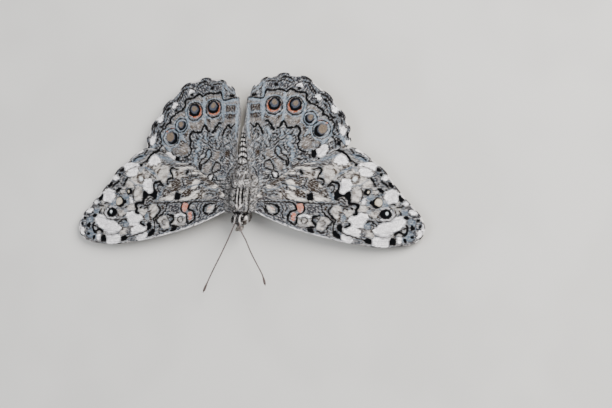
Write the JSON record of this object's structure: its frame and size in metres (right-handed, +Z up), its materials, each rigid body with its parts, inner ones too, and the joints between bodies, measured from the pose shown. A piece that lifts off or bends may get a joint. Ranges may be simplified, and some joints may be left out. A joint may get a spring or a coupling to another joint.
{
  "type": "gray cracker butterfly",
  "caption": "Life-size still model of a gray cracker butterfly at rest with its mottled wings spread flat, standing on its small feet.",
  "frame": {"origin": "the floor, under the middle of the whole model", "axes": "+X to the butterfly's left-hand side as seen from above with the head towards -Y, that is to the right of the picture; +Y from head to tail; +Z up"},
  "size_m": [0.0814, 0.0476, 0.0067],
  "materials": {
    "forewings": "matt overlapping scales in gray, white, black and brown marbling",
    "hindwings": "matt overlapping scales in gray with a row of ringed eyespots",
    "body_fur": "short soft gray hair with dark and pale stripes",
    "eyes": "glossy brown, finely faceted",
    "antennae": "dark brown, finely ringed, with a paler club",
    "palps": "gray scales and short hair",
    "legs": "matt gray scales"
  },
  "bodies": {
    "root": {"head": "body_fur", "thorax": "body_fur", "abdomen": "body_fur", "eye_left": "eyes", "eye_right": "eyes", "antenna_left": "antennae", "antenna_right": "antennae", "palp_left": "palps", "palp_right": "palps", "forewing_left": "forewings", "forewing_right": "forewings", "hindwing_left": "hindwings", "hindwing_right": "hindwings", "foreleg_left": "legs", "foreleg_right": "legs", "midleg_left": "legs", "midleg_right": "legs", "hindleg_left": "legs", "hindleg_right": "legs"}
  },
  "joints": []
}
